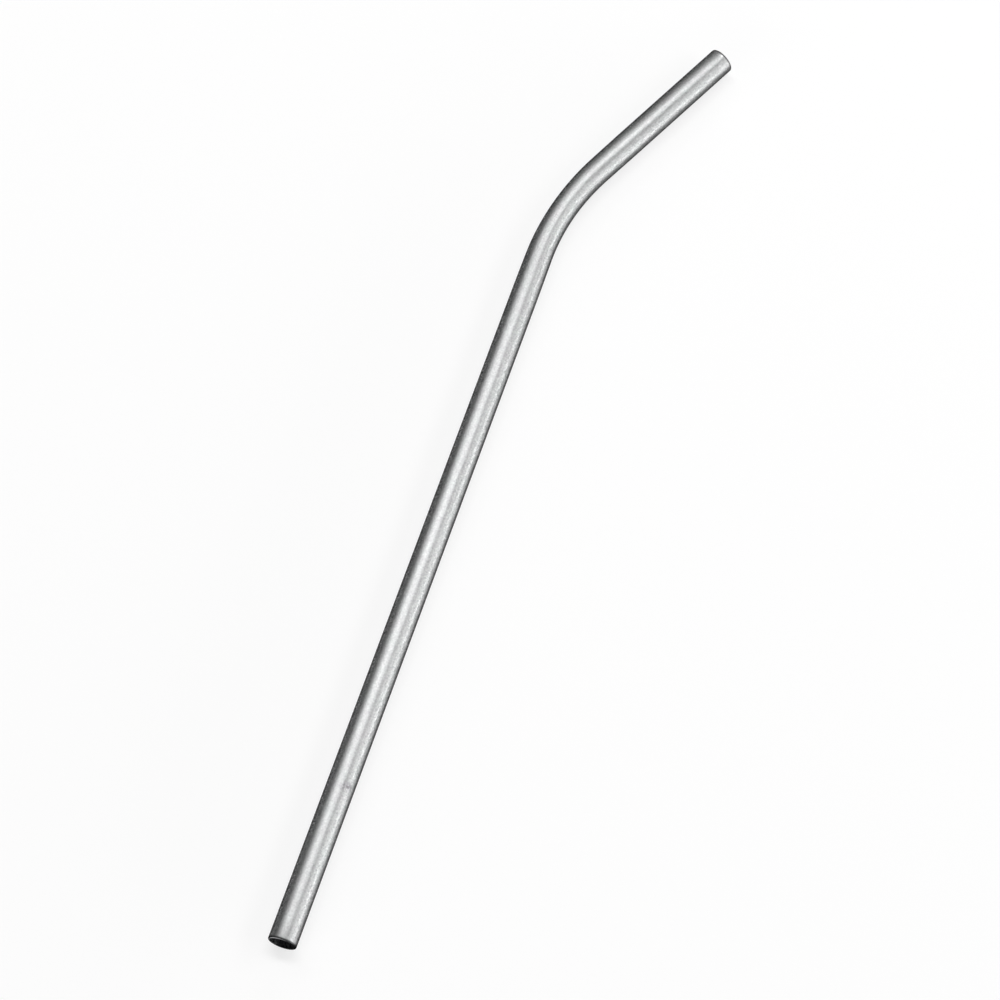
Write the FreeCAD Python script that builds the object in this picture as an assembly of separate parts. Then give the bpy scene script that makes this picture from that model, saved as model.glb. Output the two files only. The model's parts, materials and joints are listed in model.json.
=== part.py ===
import FreeCAD, Part
import math
import os

from FreeCAD import Vector

# A drinking straw, bent from one length of thin round aluminium tube. All sizes in millimetres.
# It lies flat: the plane of the bend is level, the long leg runs along X with the glass end at
# -X, and the mouth leg turns away towards -Y. The origin is on the surface that the straw lies
# on, under the middle of its outline.

# Tube stock
tube_diameter = 6.0       # outside
tube_wall = 0.5

# Straight legs, measured along the centreline
long_leg = 164.5          # from the glass end to where the bend starts
mouth_leg = 39.4          # from where the bend stops to the mouth end

# Bend
bend_radius = 56.5        # of the centreline
bend_angle = 26.5         # degrees that the mouth leg turns
flattening = 0.31         # how much narrower the tube is at the middle of the bend, across it
flattening_run = 10.5     # how far the flattening fades out into each straight leg

# Smoothed rims, the same at both ends
outer_rim_round = 0.25
inner_rim_round = 0.12

# Stations along the worked stretch, from which its skins are drawn
station_count = 25

tube_radius = tube_diameter / 2
bore_radius = tube_radius - tube_wall
bend_turn = math.radians(bend_angle)
bend_length = bend_radius * bend_turn
cut_length = long_leg + bend_length + mouth_leg
worked_start = long_leg - flattening_run
worked_end = long_leg + bend_length + flattening_run
up = Vector(0, 0, 1)


def centreline(distance):
    """Point and direction of the centreline, this far along it from the glass end."""
    turn = min(max((distance - long_leg) / bend_radius, 0), bend_turn)
    direction = Vector(math.cos(turn), -math.sin(turn), 0)
    on_arc = Vector(bend_radius * math.sin(turn), -bend_radius * (1 - math.cos(turn)), 0)
    past_arc = distance - long_leg - bend_radius * turn
    return Vector(long_leg, 0, 0) + on_arc + direction * past_arc, direction


def half_width(distance, radius):
    """Half of the oval section's width across the bend. The height stays the full diameter,
    as the groove of a bending die holds it. The loss is greatest at the middle of the bend and
    fades as a cosine wave to nothing at both ends of the worked stretch."""
    middle = (worked_start + worked_end) / 2
    reach = (worked_end - worked_start) / 2
    fade = (1 + math.cos(math.pi * (distance - middle) / reach)) / 2
    return radius - flattening / 2 * fade


def ring_poles(distance, radius):
    """Poles of the closed quadratic spline that is the oval section: the corners and the
    side middles of the rectangle around it."""
    centre, direction = centreline(distance)
    across = up.cross(direction) * half_width(distance, radius)
    rise = up * radius
    steps = [(1, 0), (1, 1), (0, 1), (-1, 1), (-1, 0), (-1, -1), (0, -1), (1, -1), (1, 0)]
    return [centre + across * i + rise * j for i, j in steps]


def worked_skin(radius):
    """Skin of the worked stretch: each pole of the oval section is carried along a smooth
    cubic through its places at the stations."""
    spacing = (worked_end - worked_start) / (station_count - 1)
    stations = [worked_start + spacing * i for i in range(station_count)]
    rings = [ring_poles(station, radius) for station in stations]
    carried = []
    for places in zip(*rings):
        curve = Part.BSplineCurve()
        curve.interpolate(
            Points=list(places),
            Parameters=stations,
            InitialTangent=centreline(worked_start)[1],
            FinalTangent=centreline(worked_end)[1],
        )
        carried.append(curve)
    poles = [list(row) for row in zip(*[curve.getPoles() for curve in carried])]
    corner_weight = math.sqrt(0.5)
    weights = [[1 if j % 2 == 0 else corner_weight for j in range(9)] for _ in poles]
    along = carried[0]
    skin = Part.BSplineSurface()
    skin.buildFromPolesMultsKnots(
        poles,
        along.getMultiplicities(), [3, 2, 2, 2, 3],
        along.getKnots(), [0, 1, 2, 3, 4],
        False, False,
        along.Degree, 2,
        weights,
    )
    return skin.toShape()


def worked_solid(radius):
    """The worked stretch filled solid to this radius, with a flat disc at each end."""
    skin = worked_skin(radius)
    end_rings = [edge for edge in skin.Edges if edge.isClosed()]
    discs = [Part.Face(Part.Wire([ring])) for ring in end_rings]
    shell = Part.makeShell([skin] + discs)
    shell.sewShape()
    return Part.makeSolid(shell)


def straight_tube(start, stop):
    """A round stretch of tube between two distances along a straight leg."""
    point, direction = centreline(start)
    length = stop - start
    outside = Part.makeCylinder(tube_radius, length, point, direction)
    return outside.cut(Part.makeCylinder(bore_radius, length, point, direction))


def rim_edges(tube, end, radius):
    """The circular edges of this radius around the centreline's end point."""
    edges = []
    for edge in tube.Edges:
        curve = edge.Curve
        if isinstance(curve, Part.Circle) and abs(curve.Radius - radius) < 1e-4:
            if curve.Center.distanceToPoint(end) < 1e-4:
                edges.append(edge)
    return edges


def round_rims(tube):
    """Rounds the outer and the inner edge of both cut ends."""
    ends = [centreline(0)[0], centreline(cut_length)[0]]
    for radius, rounding in ((tube_radius, outer_rim_round), (bore_radius, inner_rim_round)):
        edges = [edge for end in ends for edge in rim_edges(tube, end, radius)]
        tube = tube.makeFillet(rounding, edges)
    return tube


def bent_tube():
    bend = worked_solid(tube_radius).cut(worked_solid(bore_radius))
    legs = [straight_tube(0, worked_start), straight_tube(worked_end, cut_length)]
    return round_rims(bend.fuse(legs))


def laid_on_table(tube):
    """Moves the straw so that it rests on Z = 0 with its outline centred on the origin."""
    box = tube.optimalBoundingBox()
    return tube.translated(Vector(-box.Center.x, -box.Center.y, -box.ZMin))


os.makedirs("parts", exist_ok=True)
straw = laid_on_table(bent_tube())
straw.exportStep("parts/straw_tube.step")
print(f"straw_tube: {cut_length:.2f} mm along the centreline, {straw.Volume:.2f} mm3")
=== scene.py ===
import json
import math

import bpy
import numpy as np
from mathutils import Matrix, Vector


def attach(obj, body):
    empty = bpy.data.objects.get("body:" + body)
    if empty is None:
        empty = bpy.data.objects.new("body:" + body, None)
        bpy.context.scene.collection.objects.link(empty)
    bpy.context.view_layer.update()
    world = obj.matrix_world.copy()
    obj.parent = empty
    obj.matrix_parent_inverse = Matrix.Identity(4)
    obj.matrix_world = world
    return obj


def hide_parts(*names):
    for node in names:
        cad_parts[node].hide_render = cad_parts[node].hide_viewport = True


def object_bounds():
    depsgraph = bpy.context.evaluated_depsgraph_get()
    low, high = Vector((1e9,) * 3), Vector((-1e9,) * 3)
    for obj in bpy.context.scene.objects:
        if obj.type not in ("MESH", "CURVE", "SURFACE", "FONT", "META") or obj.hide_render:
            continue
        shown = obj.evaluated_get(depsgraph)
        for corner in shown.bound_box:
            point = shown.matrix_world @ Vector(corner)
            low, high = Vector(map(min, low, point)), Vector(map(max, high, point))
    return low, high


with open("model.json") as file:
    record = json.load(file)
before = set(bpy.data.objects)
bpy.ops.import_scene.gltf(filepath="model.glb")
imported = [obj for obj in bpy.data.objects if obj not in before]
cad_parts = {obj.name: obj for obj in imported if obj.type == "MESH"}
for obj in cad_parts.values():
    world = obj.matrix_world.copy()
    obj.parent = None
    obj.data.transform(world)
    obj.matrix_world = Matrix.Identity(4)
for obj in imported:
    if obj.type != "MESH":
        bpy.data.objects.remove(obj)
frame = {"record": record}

# A bent drinking straw of satin aluminium tube, lying on a pale floor. Metres throughout.
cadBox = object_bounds()
mounts = {mount["name"]: mount for mount in frame["record"]["mounts"]}
print("frame loaded")


strawShape = {
    "bendRadius": 0.0565,         # of the centreline
    "flattening": 0.00031,        # width that the tube loses at the middle of the bend
    "flatteningRun": 0.0105,      # how far the oval fades out into each straight leg
    "outerRimRound": 0.00025,
    "innerRimRound": 0.00012,
    "columns": 112,               # around the tube
    "columnGap": 0.01,            # least angle, in radians, between even and closer columns
    "legStep": 0.0040,            # between rings on the straight legs
    "bendStep": 0.0005,           # between rings round the bend
    "rimSteps": 8,                # rings over each rounded rim
}

# One small round pinch mark on the long leg: a shallow ring with a low boss left in it.
pinchMark = {
    "distance": 0.0350,           # from the glass end
    "angle": 129.0,               # degrees round the tube: 0 is outside the bend, 90 is on top
    "ringRadius": 0.00042,
    "ringWidth": 0.00016,
    "ringDepth": 0.000060,
    "skin": 1e-7,                 # only points within this of the outer radius are sunk
    "patch": 0.0011,              # half size of the finer mesh around it
    "patchStep": 0.00007,
}


def legEnd(mount):
    # The stated pin runs from its leg's rounded rim to the bend, so half of it and the
    # rounding lie between its middle and the cut end.
    axis = np.array(mount["axis"])
    half = mount["dims"]["length_mm"] / 2000 + strawShape["outerRimRound"]
    return np.array(mount["pos_m"]) + axis * half, axis


glassEnd, glassAxis = legEnd(mounts["long_leg_outside"])
mouthEnd, mouthAxis = legEnd(mounts["mouth_leg_outside"])
tubeRadius = mounts["long_leg_outside"]["dims"]["r_mm"] / 1000
boreRadius = mounts["glass_end_bore"]["dims"]["r_mm"] / 1000
startAlong = -glassAxis
turn = math.acos(float(startAlong @ mouthAxis))
# The two centre lines cross where glassEnd + a * startAlong = mouthEnd - b * mouthAxis. The
# arc touches each line short of the crossing by the radius times the tangent of half the turn.
directions = np.column_stack([startAlong[:2], mouthAxis[:2]])
toCrossing = np.linalg.solve(directions, (mouthEnd - glassEnd)[:2])
tangentLength = strawShape["bendRadius"] * math.tan(turn / 2)
longLeg, mouthLeg = toCrossing - tangentLength
arcLength = strawShape["bendRadius"] * turn
strawLength = longLeg + arcLength + mouthLeg


def centreline(distance):
    # Straight, arc, straight. The turn so far is (distance - longLeg) / bendRadius, held
    # between 0 and the whole turn; the arc adds radius * sin(turn) forwards and
    # radius * (1 - cos(turn)) to the right, and what is left runs straight on.
    radius = strawShape["bendRadius"]
    turned = np.clip((distance - longLeg) / radius, 0, turn)
    onward = np.stack([np.cos(turned), -np.sin(turned), 0 * turned], 1)
    onArc = np.stack([np.sin(turned), np.cos(turned) - 1, 0 * turned], 1) * radius
    straight = (distance - radius * turned)[:, None] * onward
    leg = longLeg * (np.array([1.0, 0, 0]) - onward)
    return glassEnd + leg + onArc + straight, onward


def squeezed(distance):
    # Half of the width lost across the bend: a cosine wave, greatest at the middle.
    reach = arcLength / 2 + strawShape["flatteningRun"]
    along = np.clip((distance - longLeg - arcLength / 2) / reach, -1, 1)
    return strawShape["flattening"] / 4 * (1 + np.cos(math.pi * along))


def steps(start, stop, size):
    return np.linspace(start, stop, max(2, int(round((stop - start) / size)) + 1))


def wallDistances():
    # Places of the rings along a wall: wide on the legs, close round the bend and the mark.
    bendReach = arcLength / 2 + strawShape["flatteningRun"]
    bendMiddle = longLeg + arcLength / 2
    rim = strawShape["outerRimRound"]
    mark, patch = pinchMark["distance"], pinchMark["patch"]
    stretches = [
        steps(rim, mark - patch, strawShape["legStep"]),
        steps(mark - patch, mark + patch, pinchMark["patchStep"]),
        steps(mark + patch, bendMiddle - bendReach, strawShape["legStep"]),
        steps(bendMiddle - bendReach, bendMiddle + bendReach, strawShape["bendStep"]),
        steps(bendMiddle + bendReach, strawLength - rim, strawShape["legStep"]),
    ]
    # Stretches share their ends, which merge once rounded to a tenth of a micrometre.
    return np.unique(np.round(np.concatenate(stretches), 7))


def columnAngles():
    # Even columns round the tube, with closer ones through the mark.
    even = np.arange(strawShape["columns"]) * 2 * math.pi / strawShape["columns"]
    reach = pinchMark["patch"] / tubeRadius
    middle = math.radians(pinchMark["angle"])
    fine = steps(middle - reach, middle + reach, pinchMark["patchStep"] / tubeRadius)
    gap = strawShape["columnGap"]
    return np.concatenate([even[even < fine[0] - gap], fine, even[even > fine[-1] + gap]])


def quarter(centre, radius, start, count):
    # Quarter of a circle in the plane of distance and radius, turning clockwise from start.
    angle = start - np.linspace(0, math.pi / 2, count)
    return np.stack([centre[0] + radius * np.cos(angle), centre[1] + radius * np.sin(angle)], 1)


def wallProfile():
    # The tube's wall cut lengthwise, as one closed loop of (distance, radius): along the
    # outside, over the mouth rim, back through the bore and over the glass rim.
    outer, inner = strawShape["outerRimRound"], strawShape["innerRimRound"]
    count = strawShape["rimSteps"]
    along = wallDistances()
    outside = np.stack([along, 0 * along + tubeRadius], 1)
    bore = np.stack([along[::-1], 0 * along + boreRadius], 1)
    loop = [
        outside,
        quarter((strawLength - outer, tubeRadius - outer), outer, math.pi / 2, count)[1:],
        quarter((strawLength - inner, boreRadius + inner), inner, 0, count),
        bore,
        quarter((inner, boreRadius + inner), inner, -math.pi / 2, count),
        quarter((outer, tubeRadius - outer), outer, -math.pi, count)[:-1],
    ]
    return np.concatenate(loop)


def pinchDepth(distance, angle, radius):
    # A ring-shaped groove: a bell curve across it, centred on ringRadius from the mark.
    across = (angle - math.radians(pinchMark["angle"])) * tubeRadius
    away = np.hypot(distance - pinchMark["distance"], across)
    bell = np.exp(-(((away - pinchMark["ringRadius"]) / pinchMark["ringWidth"]) ** 2))
    return np.where(radius > tubeRadius - pinchMark["skin"], pinchMark["ringDepth"] * bell, 0)


def makeStraw():
    # The wall's profile carried round the centreline. A point is the centreline's point at
    # its distance, plus across * (radius - squeezed) * cos(angle), plus up * radius * sin(angle).
    profile = wallProfile()
    angle = columnAngles()[None, :]
    distance, radius = profile[:, :1], profile[:, 1:]
    middle, onward = centreline(profile[:, 0])
    across = np.stack([-onward[:, 1], onward[:, 0], 0 * onward[:, 0]], 1)
    sunk = pinchDepth(distance, angle, radius)
    width = (radius - squeezed(distance) - sunk) * np.cos(angle)
    rise = (radius - sunk) * np.sin(angle)
    place = middle[:, None, :] + across[:, None, :] * width[..., None]
    place[..., 2] += rise

    rings, columns = rise.shape
    ring, column = np.meshgrid(np.arange(rings), np.arange(columns), indexing="ij")
    nextRing, nextColumn = (ring + 1) % rings, (column + 1) % columns
    corners = [(ring, column), (nextRing, column), (nextRing, nextColumn), (ring, nextColumn)]
    faces = np.stack([r * columns + c for r, c in corners], -1).reshape(-1, 4)

    mesh = bpy.data.meshes.new("strawSkin")
    mesh.from_pydata(place.reshape(-1, 3), [], faces)
    mesh.shade_smooth()

    # The straw pulled straight: distance along it, then the place across the section. Patterns
    # that run lengthwise read this, so that they follow the bend and have no seam.
    straight = np.stack([distance + 0 * angle, radius * np.cos(angle), radius * np.sin(angle)], -1)
    mesh.attributes.new("straightened", "FLOAT_VECTOR", "POINT").data.foreach_set(
        "vector", straight.astype(np.float32).ravel())

    wall = len(wallDistances())
    rim = 2 * strawShape["rimSteps"] - 1
    zones = np.array([0] * (wall - 1) + [1] * (rim + 1) + [2] * (wall - 1) + [1] * (rim + 1))
    mesh.polygons.foreach_set("material_index", np.repeat(zones[:rings], columns).astype(np.int32))
    straw = bpy.data.objects.new("straw_skin", mesh)
    bpy.context.scene.collection.objects.link(straw)
    return straw


straw = makeStraw()
print("straw:", len(straw.data.polygons), "faces,", round(strawLength * 1000, 2), "mm of centreline")
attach(straw, "root")
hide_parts("straw_tube")


def addNode(tree, kind, inputs=None, **settings):
    # A value that is itself a socket is linked, and any other is set.
    node = tree.nodes.new(kind)
    for label, value in settings.items():
        setattr(node, label, value)
    for label, value in (inputs or {}).items():
        if isinstance(value, bpy.types.NodeSocket):
            tree.links.new(value, node.inputs[label])
        else:
            node.inputs[label].default_value = value
    return node


def arithmetic(tree, operation, *values):
    return addNode(tree, "ShaderNodeMath", dict(enumerate(values)), operation=operation).outputs[0]


def total(tree, values):
    result = values[0]
    for value in values[1:]:
        result = arithmetic(tree, "ADD", result, value)
    return result


def noise(tree, vector, scale, detail, stretch=(1, 1, 1)):
    # Signed noise, about -0.5 to 0.5, with scale waves to the metre.
    stretched = addNode(tree, "ShaderNodeMapping", {"Vector": vector, "Scale": stretch}).outputs[0]
    inputs = {"Vector": stretched, "Scale": scale, "Detail": detail}
    return arithmetic(tree, "SUBTRACT", addNode(tree, "ShaderNodeTexNoise", inputs).outputs[0], 0.5)


def mixColour(tree, factor, first, second):
    # Of this node's like-named sockets, 0, 6 and 7 are the factor and the colours.
    values = {0: factor, 6: first, 7: second}
    return addNode(tree, "ShaderNodeMix", values, data_type="RGBA").outputs[2]


def startGroup(name, inputs, outputs):
    # A number makes a float socket, three make a vector and four a colour.
    group = bpy.data.node_groups.new(name, "ShaderNodeTree")
    kinds = {1: "NodeSocketFloat", 3: "NodeSocketVector", 4: "NodeSocketColor"}
    for label, value in inputs.items():
        kind = kinds[len(value) if isinstance(value, tuple) else 1]
        group.interface.new_socket(label, in_out="INPUT", socket_type=kind).default_value = value
    for label, kind in outputs.items():
        group.interface.new_socket(label, in_out="OUTPUT", socket_type=kind)
    return group, group.nodes.new("NodeGroupInput").outputs, group.nodes.new("NodeGroupOutput").inputs


def placeGroup(tree, group, inputs):
    return addNode(tree, "ShaderNodeGroup", inputs, node_tree=group).outputs


# The grain's patterns: waves to the metre, detail, and a stretch (along, across, up).
grainNoise = {
    "patches": (1000, 3),
    "specks": (2400, 1),
    "drift": (1700, 1),
    "lines": (1, 2, (55, 3200, 3200)),
    "waves": (1, 1, (130, 260, 260)),
    "cast": (260, 2),
}


def makeDrawnGrain():
    # What drawing and pickling leave on the metal. Its shade is 1 + patches + specks + lines,
    # and a cast moves red up and green down by the same small share. The roughness has a drift
    # of its own. The height adds up the patches, the specks, the lengthwise lines and slow
    # waves, each in metres.
    group, given, result = startGroup(
        "drawnGrain",
        {"Straightened": (0, 0, 0), "Metal": (0.9, 0.9, 0.9, 1), "Cast": 0.02,
         "Patches": 0.1, "Specks": 0.1, "Lines": 0.1, "Roughness": 0.45, "Roughness Drift": 0.1,
         "Patch Height": 1e-5, "Speck Height": 1e-5, "Line Height": 1e-6, "Wave Height": 1e-5},
        {"Color": "NodeSocketColor", "Roughness": "NodeSocketFloat", "Height": "NodeSocketFloat"})
    place = given["Straightened"]
    found = {name: noise(group, place, *values) for name, values in grainNoise.items()}

    shade = total(group, [
        arithmetic(group, "MULTIPLY", found["patches"], given["Patches"]),
        arithmetic(group, "MULTIPLY", found["specks"], given["Specks"]),
        arithmetic(group, "MULTIPLY", found["lines"], given["Lines"]),
        1.0,
    ])
    warmth = arithmetic(group, "MULTIPLY", found["cast"], given["Cast"])
    red = arithmetic(group, "MULTIPLY", shade, arithmetic(group, "ADD", 1.0, warmth))
    green = arithmetic(group, "MULTIPLY", shade, arithmetic(group, "SUBTRACT", 1.0, warmth))
    share = addNode(group, "ShaderNodeCombineXYZ", {"X": red, "Y": green, "Z": shade}).outputs[0]
    metal = addNode(group, "ShaderNodeVectorMath", {0: given["Metal"], 1: share}, operation="MULTIPLY")
    group.links.new(metal.outputs[0], result["Color"])

    drift = arithmetic(group, "MULTIPLY", found["drift"], given["Roughness Drift"])
    group.links.new(arithmetic(group, "ADD", given["Roughness"], drift), result["Roughness"])

    height = total(group, [
        arithmetic(group, "MULTIPLY", found["patches"], given["Patch Height"]),
        arithmetic(group, "MULTIPLY", found["specks"], given["Speck Height"]),
        arithmetic(group, "MULTIPLY", found["lines"], given["Line Height"]),
        arithmetic(group, "MULTIPLY", found["waves"], given["Wave Height"]),
    ])
    group.links.new(height, result["Height"])
    return group


def makeSpot():
    # A soft round spot: 1 at its centre, falling smoothly to 0 at its radius.
    group, given, result = startGroup(
        "spot",
        {"Straightened": (0, 0, 0), "Centre": (0, 0, 0), "Radius": 0.0002},
        {"Mask": "NodeSocketFloat"})
    ends = {0: given["Straightened"], 1: given["Centre"]}
    away = addNode(group, "ShaderNodeVectorMath", ends, operation="DISTANCE")
    values = {"Value": away.outputs["Value"], "From Max": given["Radius"], "To Min": 1.0, "To Max": 0.0}
    fade = addNode(group, "ShaderNodeMapRange", values, interpolation_type="SMOOTHSTEP")
    group.links.new(fade.outputs[0], result["Mask"])
    return group


def makeScatter():
    # Sparse soft specks: space is cut into cells, Density of them to the metre, and only the
    # share of cells with a low random number holds one. Its radius is a share of a cell, and
    # it is whole out to Core of that radius.
    group, given, result = startGroup(
        "scatter",
        {"Straightened": (0, 0, 0), "Density": 1500.0, "Share": 0.2, "Radius": 0.5, "Core": 0.5,
         "Fineness": 2.0, "Push": 0.5},
        {"Mask": "NodeSocketFloat"})
    # Finer noise, with Fineness waves to a cell, pushes the cells about by up to half of Push,
    # in cells, so that no speck is quite round.
    finer = arithmetic(group, "MULTIPLY", given["Density"], given["Fineness"])
    values = {"Vector": given["Straightened"], "Scale": finer, "Detail": 1.0}
    values = {0: addNode(group, "ShaderNodeTexNoise", values).outputs["Color"], 1: (0.5, 0.5, 0.5)}
    ripple = addNode(group, "ShaderNodeVectorMath", values, operation="SUBTRACT")
    reach = arithmetic(group, "DIVIDE", given["Push"], given["Density"])
    values = {0: ripple.outputs[0], "Scale": reach}
    push = addNode(group, "ShaderNodeVectorMath", values, operation="SCALE").outputs[0]
    values = {0: given["Straightened"], 1: push}
    moved = addNode(group, "ShaderNodeVectorMath", values, operation="ADD").outputs[0]
    cells = addNode(group, "ShaderNodeTexVoronoi", {"Vector": moved, "Scale": given["Density"]}).outputs
    chance = addNode(group, "ShaderNodeSeparateColor", {"Color": cells["Color"]}).outputs[0]
    chosen = arithmetic(group, "LESS_THAN", chance, given["Share"])
    whole = arithmetic(group, "MULTIPLY", given["Radius"], given["Core"])
    values = {"Value": cells["Distance"], "From Min": whole, "From Max": given["Radius"]}
    values.update({"To Min": 1.0, "To Max": 0.0})
    fade = addNode(group, "ShaderNodeMapRange", values, interpolation_type="SMOOTHSTEP").outputs[0]
    group.links.new(arithmetic(group, "MULTIPLY", chosen, fade), result["Mask"])
    return group


drawnGrain = makeDrawnGrain()
spot = makeSpot()
scatter = makeScatter()

# The outside is bright aluminium under a thin grey film. The film is the clear coat with a
# tint: it dims what is seen straight on, and what is seen at a slant more.
film = {"tint": 0.415, "roughness": 0.40, "ior": 1.02}
outsideMetal = {
    "Metal": (0.888, 0.902, 0.903, 1),
    "Cast": 0.04,
    "Patches": 0.14,
    "Specks": 0.42,
    "Lines": 0.08,
    "Roughness": 0.44,
    "Roughness Drift": 0.06,
    "Patch Height": 0.8e-5,
    "Speck Height": 1.0e-5,
    "Line Height": 1.5e-6,
    "Wave Height": 1.0e-5,
}
# Painted shade: the metal of the cut rims is painted near black, so that the rims read dark.
rimShadeMetal = dict(outsideMetal, **{
    "Metal": (0.16, 0.165, 0.17, 1),
    "Roughness": 0.36,
    "Wave Height": 0.0,
})
# Painted shade: the bore's metal is painted near black, with heavy mottling.
boreShadeMetal = dict(outsideMetal, **{
    "Metal": (0.15, 0.15, 0.157, 1),
    "Patches": 3.0,
    "Specks": 3.0,
    "Lines": 0.8,
})

# Pits, points and film thinning have one strength along the top and others down the two sides;
# the dark pits are densest down the outer side, which they darken.
# A side starts and is full where its distance across is this share of the tube's radius.
sides = {"start": 0.35, "full": 0.85}
# Dark pits in the metal, bright points where the film is gone, and uneven thinning of the film.
pits = {
    "Density": 2200.0,
    "Share": 0.62,
    "Radius": 0.62,
    "Core": 0.3,
    "Fineness": 1.8,
    "Push": 1.3,
    "top": 0.09,
    "outer": 0.88,
    "inner": 0.26,
}
points = {
    "Density": 2300.0,
    "Share": 0.26,
    "Radius": 0.55,
    "Core": 0.4,
    "Fineness": 1.8,
    "Push": 0.8,
    "top": 0.08,
    "outer": 0.5,
    "inner": 0.18,
}
thinning = {
    "pattern": (2400, 1),
    "spread": 0.15,
    "top": 0.03,
    "outer": 0.09,
    "inner": 0.04,
}

# Painted highlights: faint lengthwise streaks of thinner film at fixed places round the tube,
# which brighten the metal there: degrees round, how far each fades, and how thin it is.
paintedHighlightStreaks = [
    (63.0, 15.0, 0.08),
    (155.0, 11.0, 0.13),
]
# Painted glints: single bright specks of thinner film, standing in for pits that catch a lamp:
# distance from the glass end, degrees round, radius, strength.
paintedGlints = [
    (0.00226, 60.0, 0.00022, 0.5),
    (0.03716, 137.5, 0.00017, 0.6),
    (0.18010, 134.8, 0.00022, 0.6),
    (0.22940, 101.0, 0.00042, 0.45),
]
# Round the pinch mark the metal is stained a mottled mauve grey.
stain = {
    "metal": (0.56, 0.53, 0.57, 1),
    "along": -0.0006,
    "across": -0.0004,
    "radius": 0.0020,
    "strength": 0.8,
    "pattern": (2300, 2),
    "edges": (-0.12, 0.10),
}
# The pinch has left a dark ring, heavier on one side: a spot set off by these distances along
# and across, less a smaller one on the mark itself.
darkRing = {
    "metal": (0.36, 0.34, 0.37, 1),
    "along": -0.00008,
    "across": 0.00011,
    "radius": 0.00096,
    "clear": 0.00066,
    "strength": 1.5,
}
# Painted shade: beside each cut the outside is painted dark for a hair's breadth.
cutShadeLine = {
    "metal": (0.12, 0.12, 0.125, 1),
    "width": 0.00030,
    "strength": 0.9,
}
# Painted highlight: on top of the glass end the rim is painted bright, with its film taken off, but not
# its outer corner.
rimTopHighlight = {
    "metal": (0.62, 0.63, 0.64, 1),
    "angle": 56.0,
    "radius": 0.0040,
    "corner": 0.00008,
    "fade": 0.00006,
}


def spotAt(tree, place, distance, angle, radius):
    # The spot's centre on the straightened straw is (distance, r cos angle, r sin angle).
    turned = math.radians(angle)
    centre = (distance, tubeRadius * math.cos(turned), tubeRadius * math.sin(turned))
    return placeGroup(tree, spot, {"Straightened": place, "Centre": centre, "Radius": radius})["Mask"]


def spotByMark(tree, place, offset):
    # A spot set off from the pinch mark along and across the tube.
    angle = pinchMark["angle"] + math.degrees(offset.get("across", 0) / tubeRadius)
    return spotAt(tree, place, pinchMark["distance"] + offset.get("along", 0), angle, offset["radius"])


def startMetal(name, metal):
    # A filmed metal with the drawn grain. It returns what a finish may still build on.
    material = bpy.data.materials.new(name)
    material.use_nodes = True
    tree = material.node_tree
    shader = tree.nodes["Principled BSDF"]
    shader.distribution = "GGX"
    shader.inputs["Metallic"].default_value = 1
    shader.inputs["Specular Tint"].default_value = (0, 0, 0, 1)
    shader.inputs["Coat Weight"].default_value = 1
    shader.inputs["Coat IOR"].default_value = film["ior"]
    shader.inputs["Coat Roughness"].default_value = film["roughness"]
    shader.inputs["Coat Tint"].default_value = (film["tint"], film["tint"], film["tint"], 1)
    place = addNode(tree, "ShaderNodeAttribute", attribute_name="straightened").outputs["Vector"]
    grain = placeGroup(tree, drawnGrain, {"Straightened": place, **metal})
    bump = addNode(tree, "ShaderNodeBump", {"Height": grain["Height"], "Distance": 1.0})
    tree.links.new(grain["Color"], shader.inputs["Base Color"])
    tree.links.new(grain["Roughness"], shader.inputs["Roughness"])
    tree.links.new(bump.outputs[0], shader.inputs["Normal"])
    return material, shader.inputs, place, grain["Color"]


def bySide(tree, place, wear):
    # The strength along the top, plus what each side adds to it.
    across = addNode(tree, "ShaderNodeSeparateXYZ", {"Vector": place}).outputs["Y"]
    strength = wear["top"]
    for side, direction in (("outer", tubeRadius), ("inner", -tubeRadius)):
        start, full = sides["start"] * direction, sides["full"] * direction
        values = {"Value": across, "From Min": start, "From Max": full, "To Max": wear[side] - wear["top"]}
        added = addNode(tree, "ShaderNodeMapRange", values).outputs[0]
        strength = arithmetic(tree, "ADD", strength, added)
    return strength


def sown(tree, place, wear):
    # The capitalised values of a kind of wear are the scatter group's own inputs.
    inputs = {label: value for label, value in wear.items() if label[0].isupper()}
    mask = placeGroup(tree, scatter, {"Straightened": place, **inputs})["Mask"]
    return arithmetic(tree, "MULTIPLY", mask, bySide(tree, place, wear))


def specked(tree, place, colour):
    return mixColour(tree, sown(tree, place, pits), colour, (0, 0, 0, 1))


def filmOver(tree, gaps):
    # How much of the film is left: all of it, less every gap.
    return arithmetic(tree, "SUBTRACT", 1.0, arithmetic(tree, "MINIMUM", total(tree, gaps), 1.0))


def highlightStreaks(tree, place):
    # The place round the tube is the arctangent of up over across.
    section = addNode(tree, "ShaderNodeSeparateXYZ", {"Vector": place}).outputs
    around = arithmetic(tree, "ARCTAN2", section["Z"], section["Y"])
    # Each streak is a painted highlight: thinner film, so brighter metal, along a fixed angle round the
    # tube.
    found = []
    for angle, fade, strength in paintedHighlightStreaks:
        away = arithmetic(tree, "ABSOLUTE", arithmetic(tree, "SUBTRACT", around, math.radians(angle)))
        values = {"Value": away, "From Max": math.radians(fade), "To Min": strength, "To Max": 0.0}
        gap = addNode(tree, "ShaderNodeMapRange", values, interpolation_type="SMOOTHSTEP")
        found.append(gap.outputs[0])
    return found


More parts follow.
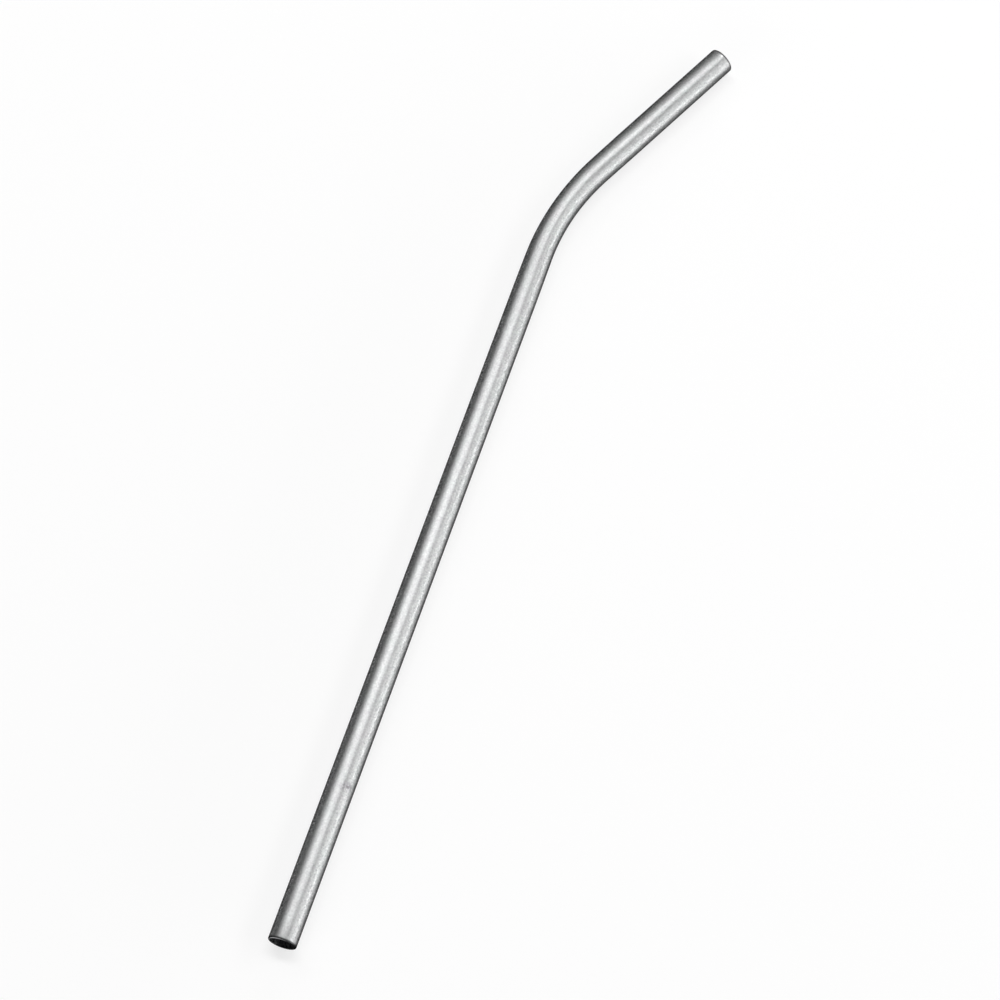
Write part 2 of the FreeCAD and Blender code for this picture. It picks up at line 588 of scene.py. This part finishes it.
def makeOutside():
    material, sockets, place, colour = startMetal("satinOutside", outsideMetal)
    tree = material.node_tree
    low, high = stain["edges"]
    values = {"Value": noise(tree, place, *stain["pattern"]), "From Min": low, "From Max": high}
    mottle = addNode(tree, "ShaderNodeMapRange", values, interpolation_type="SMOOTHSTEP").outputs[0]
    stained = arithmetic(tree, "MULTIPLY", spotByMark(tree, place, stain), mottle)
    stained = arithmetic(tree, "MULTIPLY", stained, stain["strength"])
    colour = mixColour(tree, stained, colour, stain["metal"])

    clear = spotByMark(tree, place, {"radius": darkRing["clear"]})
    ring = arithmetic(tree, "SUBTRACT", spotByMark(tree, place, darkRing), clear)
    ring = arithmetic(tree, "MULTIPLY", arithmetic(tree, "MAXIMUM", ring, 0.0), darkRing["strength"])
    colour = mixColour(tree, arithmetic(tree, "MINIMUM", ring, 1.0), colour, darkRing["metal"])

    # How near a cut is: the distance from the middle of the length, against half of it.
    along = addNode(tree, "ShaderNodeSeparateXYZ", {"Vector": place}).outputs["X"]
    fromMiddle = arithmetic(tree, "ABSOLUTE", arithmetic(tree, "SUBTRACT", along, strawLength / 2))
    edge = strawLength / 2 - strawShape["outerRimRound"]
    values = {"Value": fromMiddle, "From Min": edge - cutShadeLine["width"], "From Max": edge}
    values["To Max"] = cutShadeLine["strength"]
    # A painted dark line along each cut.
    shadeLine = addNode(tree, "ShaderNodeMapRange", values, interpolation_type="SMOOTHSTEP").outputs[0]
    colour = mixColour(tree, shadeLine, colour, cutShadeLine["metal"])
    tree.links.new(specked(tree, place, colour), sockets["Base Color"])

    thin = noise(tree, place, *thinning["pattern"])
    values = {"Value": thin, "From Min": -thinning["spread"], "From Max": thinning["spread"]}
    thinned = addNode(tree, "ShaderNodeMapRange", values).outputs[0]
    thinned = arithmetic(tree, "MULTIPLY", thinned, bySide(tree, place, thinning))
    gaps = [thinned, sown(tree, place, points)]
    # The painted highlight streaks.
    gaps += highlightStreaks(tree, place)
    # Painted glints.
    for distance, angle, radius, strength in paintedGlints:
        glint = spotAt(tree, place, distance, angle, radius)
        gaps.append(arithmetic(tree, "MULTIPLY", glint, strength))
    tree.links.new(filmOver(tree, gaps), sockets["Coat Weight"])
    return material


# The rims carry painted shade in their dark metal and a painted highlight on top of the glass end.
def makeCutRim():
    # The painted highlight is a wide spot at the top of the glass end, kept off the outer corner:
    # there the distance from the tube's middle, the length of (0, across, up), is too great.
    material, sockets, place, colour = startMetal("cutRimShadeAndHighlight", rimShadeMetal)
    tree = material.node_tree
    section = addNode(tree, "ShaderNodeVectorMath", {0: place, 1: (0, 1, 1)}, operation="MULTIPLY")
    fromAxis = addNode(tree, "ShaderNodeVectorMath", {0: section.outputs[0]}, operation="LENGTH")
    edge = tubeRadius - rimTopHighlight["corner"]
    values = {"Value": fromAxis.outputs["Value"], "From Min": edge - rimTopHighlight["fade"], "From Max": edge}
    values.update({"To Min": 1.0, "To Max": 0.0})
    flat = addNode(tree, "ShaderNodeMapRange", values, interpolation_type="SMOOTHSTEP").outputs[0]
    top = spotAt(tree, place, 0, rimTopHighlight["angle"], rimTopHighlight["radius"])
    gap = arithmetic(tree, "MULTIPLY", top, flat)
    # The painted highlight takes the film off and lightens the rim's metal there.
    tree.links.new(filmOver(tree, [gap]), sockets["Coat Weight"])
    colour = mixColour(tree, gap, colour, rimTopHighlight["metal"])
    tree.links.new(specked(tree, place, colour), sockets["Base Color"])
    return material


def makeShadedBore():
    # The bore has no film, and its metal is allowed to brighten at a slant. Its metal is painted near
    # black: painted shade inside the tube.
    material, sockets, place, colour = startMetal("shadedBore", boreShadeMetal)
    tree = material.node_tree
    tree.links.new(specked(tree, place, colour), sockets["Base Color"])
    sockets["Coat Weight"].default_value = 0
    sockets["Specular Tint"].default_value = (1, 1, 1, 1)
    return material


for finish in (makeOutside(), makeCutRim(), makeShadedBore()):
    straw.data.materials.append(finish)
print("metals: outside, rims and bore")


# The floor is white card. Part of its white is its own, as far as cameras, gloss and glass see
# it, so that it stays pale and still keeps the straw's shadow.
floorCard = {
    "radius": 4.0,
    "corners": 96,
    "colour": (0.95, 0.95, 0.95, 1),
    "ownWhite": 0.75,
}


def makeFloor():
    angle = np.linspace(0, 2 * math.pi, floorCard["corners"], endpoint=False)
    radius = floorCard["radius"]
    disc = np.stack([radius * np.cos(angle), radius * np.sin(angle), 0 * angle + cadBox[0].z], 1)
    mesh = bpy.data.meshes.new("floor")
    mesh.from_pydata(disc, [], [list(range(len(disc)))])
    floor = bpy.data.objects.new("floor", mesh)
    bpy.context.scene.collection.objects.link(floor)
    return floor


def makeFloorCard():
    material = bpy.data.materials.new("whiteCard")
    material.use_nodes = True
    tree = material.node_tree
    shader = tree.nodes["Principled BSDF"]
    shader.inputs["Base Color"].default_value = floorCard["colour"]
    shader.inputs["Roughness"].default_value = 1
    shader.inputs["Specular IOR Level"].default_value = 0
    white = addNode(tree, "ShaderNodeEmission", {"Color": (1, 1, 1, 1), "Strength": 1.0})
    path = addNode(tree, "ShaderNodeLightPath").outputs
    seen = total(tree, [path["Is Camera Ray"], path["Is Glossy Ray"], path["Is Transmission Ray"]])
    share = arithmetic(tree, "MULTIPLY", arithmetic(tree, "MINIMUM", seen, 1.0), floorCard["ownWhite"])
    mixed = addNode(tree, "ShaderNodeMixShader", {0: share, 1: shader.outputs[0], 2: white.outputs[0]})
    tree.links.new(mixed.outputs[0], tree.nodes["Material Output"].inputs["Surface"])
    return material


makeFloor().data.materials.append(makeFloorCard())
print("floor")

# Azimuth runs from +X towards +Y and elevation up from the floor, in degrees.
cameraView = {
    "target": (-0.007048, 0.001028, 0.003),
    "azimuth": 203.7322,
    "elevation": 63.7154,
    "roll": -5.9753,
    "distance": 0.722457,
    "lens": 123.34,
}


def outward(azimuth, elevation):
    # Unit vector from the straw towards a place in the studio.
    turned, raised = math.radians(azimuth), math.radians(elevation)
    level = math.cos(raised)
    return Vector((level * math.cos(turned), level * math.sin(turned), math.sin(raised)))


def facing(back, roll=0.0):
    # Turns local Z to the direction back, with local X level before the roll.
    level = Vector((0, 0, 1)).cross(back).normalized()
    upright = Matrix((level, back.cross(level), back)).transposed().to_4x4()
    return upright @ Matrix.Rotation(math.radians(roll), 4, "Z")


def makeCamera():
    back = outward(cameraView["azimuth"], cameraView["elevation"])
    place = Matrix.Translation(Vector(cameraView["target"]) + back * cameraView["distance"])
    camera = bpy.data.objects.new("camera", bpy.data.cameras.new("camera"))
    camera.data.lens = cameraView["lens"]
    camera.matrix_world = place @ facing(back, cameraView["roll"])
    bpy.context.scene.collection.objects.link(camera)
    bpy.context.scene.camera = camera


makeCamera()

# Softboxes: azimuth, elevation, the two angles that each fills as seen from the straw, and how
# bright its face is, where 1 is the white of a lit card.
studio = {
    "reach": 2.0,
    "fill": 0.0,
    "softboxes": {
        "lowSide": (280, 5, 110, 10, 10.3),
        "upperSide": (290, 35, 53, 10, 6.1),
        "overhead": (5, 68, 50, 11, 11.3),
        "farSide": (50, 42, 30, 14, 2.9),
        "glassEnd": (165, 15, 75, 12, 5.2),
        "mouthEnd": (0, 14, 44, 12, 5.5),
    },
}


def makeSoftbox(name, azimuth, elevation, width, height, brightness):
    # A face fills an angle at its distance when it is 2 * reach * tan(half the angle) across, and
    # it gives pi * brightness * area watts.
    light = bpy.data.lights.new(name, "AREA")
    light.shape = "RECTANGLE"
    light.size = 2 * studio["reach"] * math.tan(math.radians(width) / 2)
    light.size_y = 2 * studio["reach"] * math.tan(math.radians(height) / 2)
    light.energy = math.pi * brightness * light.size * light.size_y
    softbox = bpy.data.objects.new(name, light)
    back = outward(azimuth, elevation)
    softbox.matrix_world = Matrix.Translation(back * studio["reach"]) @ facing(back)
    softbox.visible_camera = False
    bpy.context.scene.collection.objects.link(softbox)


for name, values in studio["softboxes"].items():
    makeSoftbox(name, *values)

world = bpy.data.worlds.new("world")
world.use_nodes = True
world.node_tree.nodes["Background"].inputs["Strength"].default_value = studio["fill"]
bpy.context.scene.world = world
bpy.context.scene.view_settings.view_transform = "Standard"
print("camera and", len(studio["softboxes"]), "softboxes")
